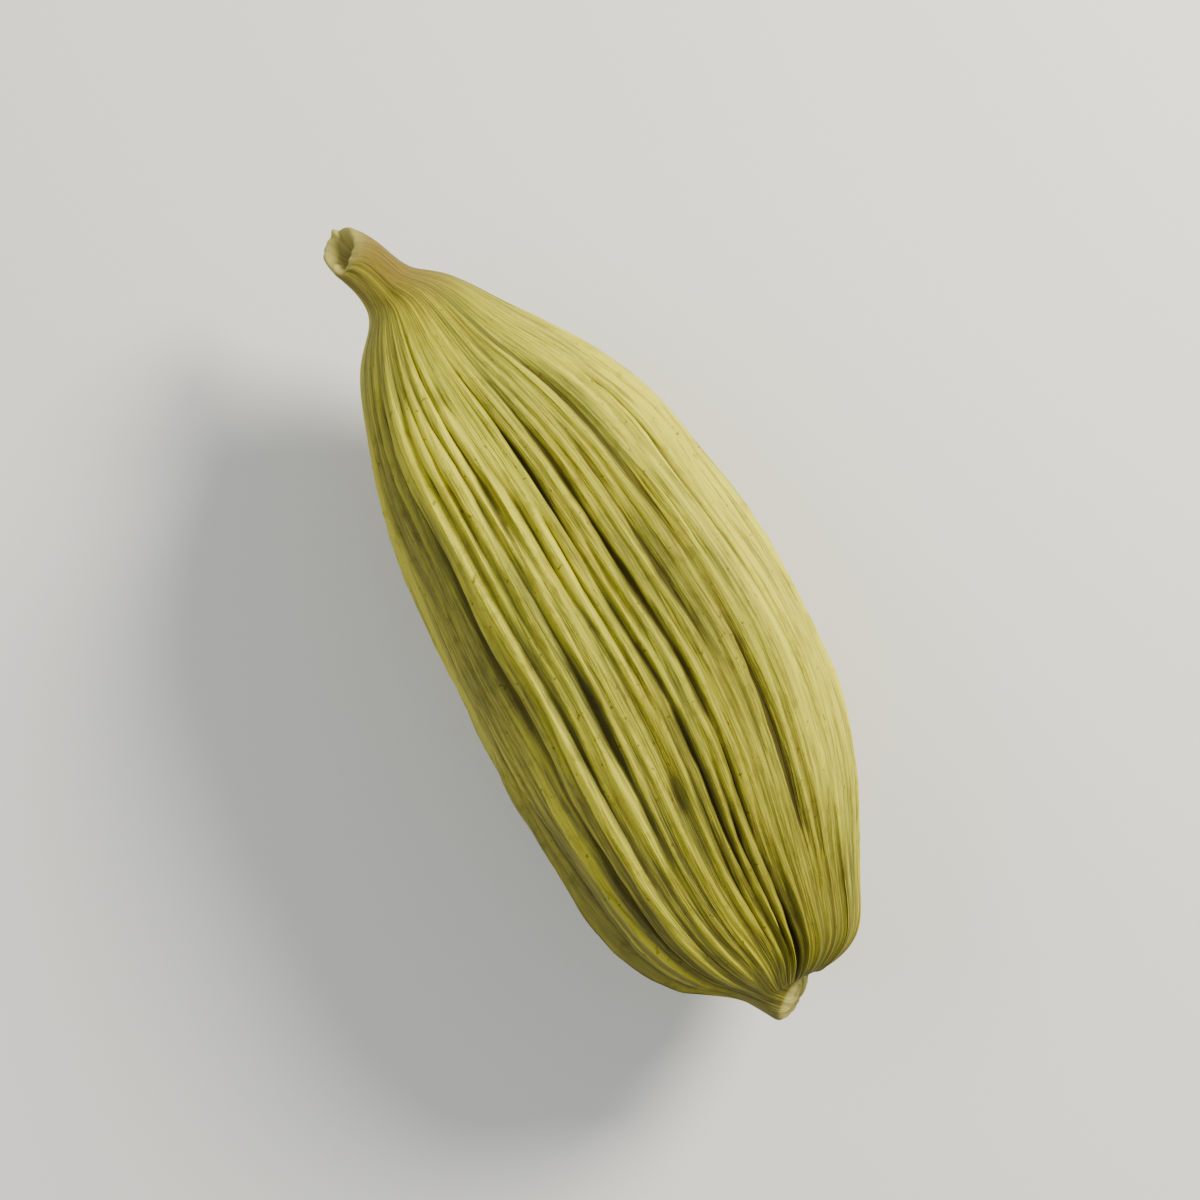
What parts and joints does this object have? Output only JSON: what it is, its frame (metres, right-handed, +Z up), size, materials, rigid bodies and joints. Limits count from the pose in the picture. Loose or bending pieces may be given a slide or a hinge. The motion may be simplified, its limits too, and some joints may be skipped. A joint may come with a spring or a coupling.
{
  "type": "green cardamom pod",
  "caption": "Closed, dried green cardamom pod, bulging to one side and ribbed lengthwise, with a short neck at one end and a stalk scar at the other. It lies on its side.",
  "frame": {"origin": "centre of the pod's bounding box in plan, at the height of the surface it lies on", "axes": "+X along the pod towards its neck, +Z up, the pod's middle bulges towards -Y"},
  "size_m": [0.0187, 0.0072, 0.0069],
  "materials": {
    "husk": "dry, fibrous husk, matt to faintly satin"
  },
  "bodies": {
    "root": {"pod": "husk"}
  },
  "joints": []
}
